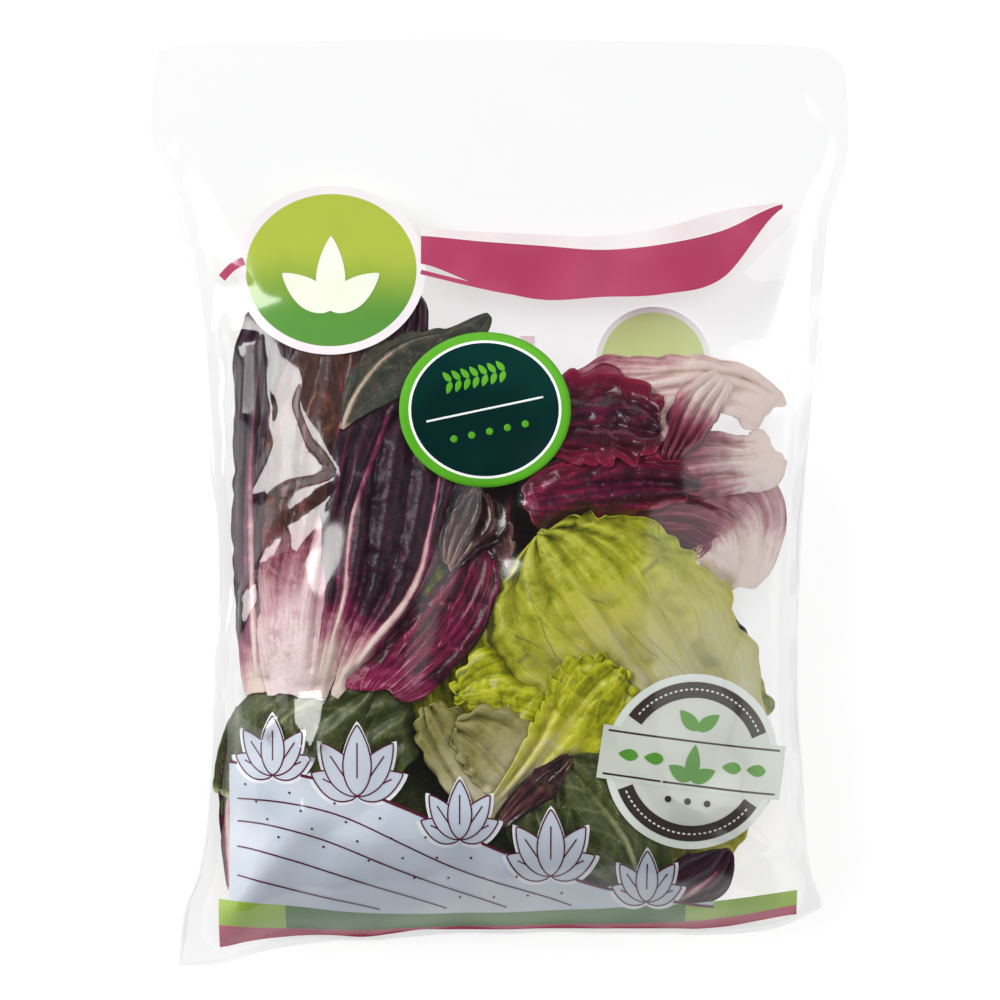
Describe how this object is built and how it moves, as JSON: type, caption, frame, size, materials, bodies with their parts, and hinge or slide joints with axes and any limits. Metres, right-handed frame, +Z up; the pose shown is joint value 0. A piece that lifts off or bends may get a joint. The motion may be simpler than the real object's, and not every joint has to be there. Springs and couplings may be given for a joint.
{
  "type": "bag of salad leaves",
  "caption": "Clear sealed pillow bag of mixed red and green salad leaves, lying on its back with a round label on the front film.",
  "frame": {"origin": "on the floor, under the middle of the bag's outline", "axes": "+X the bag's right seen from its printed side, +Y towards its top end, +Z up through the printed front film"},
  "size_m": [0.2512, 0.3328, 0.064],
  "materials": {
    "film": "clear glossy polypropylene film over mixed leaves",
    "label": "satin dark green paper label with a bright green ring",
    "print": "flexographic ink on the film in green, red and pale grey",
    "lettuce": "waxy yellow-green lettuce leaf",
    "red_leaf": "waxy dark red chicory leaf with pale ribs",
    "green_leaf": "waxy dark green leaf"
  },
  "bodies": {
    "root": {"bag": "film", "round_label": "label"}
  },
  "joints": []
}
